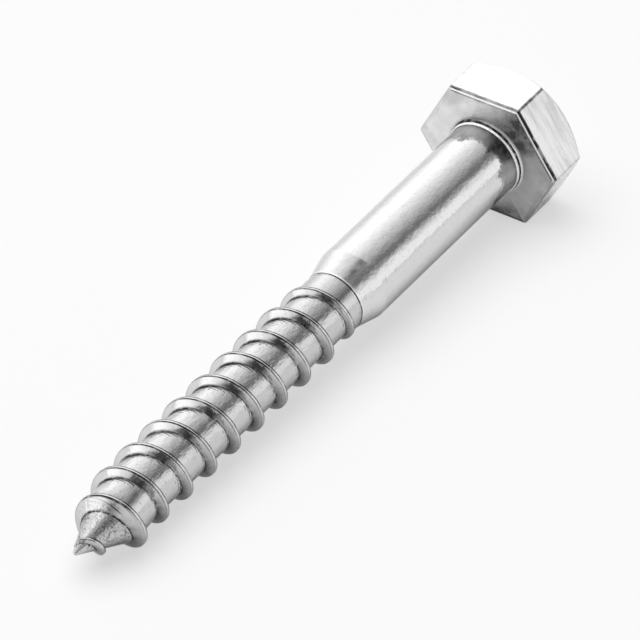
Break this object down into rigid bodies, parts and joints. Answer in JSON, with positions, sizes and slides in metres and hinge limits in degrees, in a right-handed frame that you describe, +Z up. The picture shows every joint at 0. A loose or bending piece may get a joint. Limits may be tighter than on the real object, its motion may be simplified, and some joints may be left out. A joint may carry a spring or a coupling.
{
  "type": "lag screw",
  "caption": "Hexagon-head lag screw with a plain shank, a short tapered neck, a coarse right-hand wood thread and a gimlet point, lying on a flat of its head.",
  "frame": {"origin": "the centre of the bearing face under the head, on the screw's axis", "axes": "+Z is up and the screw lies as it comes to rest, on one flat of its head and on its last full thread. Its axis lies in the XZ plane, with the head towards +X and the point towards -X, and rises 2.99 degrees towards the head. The surface it lies on is level, 8.3 mm below the origin."},
  "size_m": [0.0874, 0.019, 0.0169],
  "materials": {
    "steel": "bright satin steel, as forged and rolled, then plated thin"
  },
  "bodies": {
    "root": {"lag_screw": "steel"}
  },
  "joints": []
}
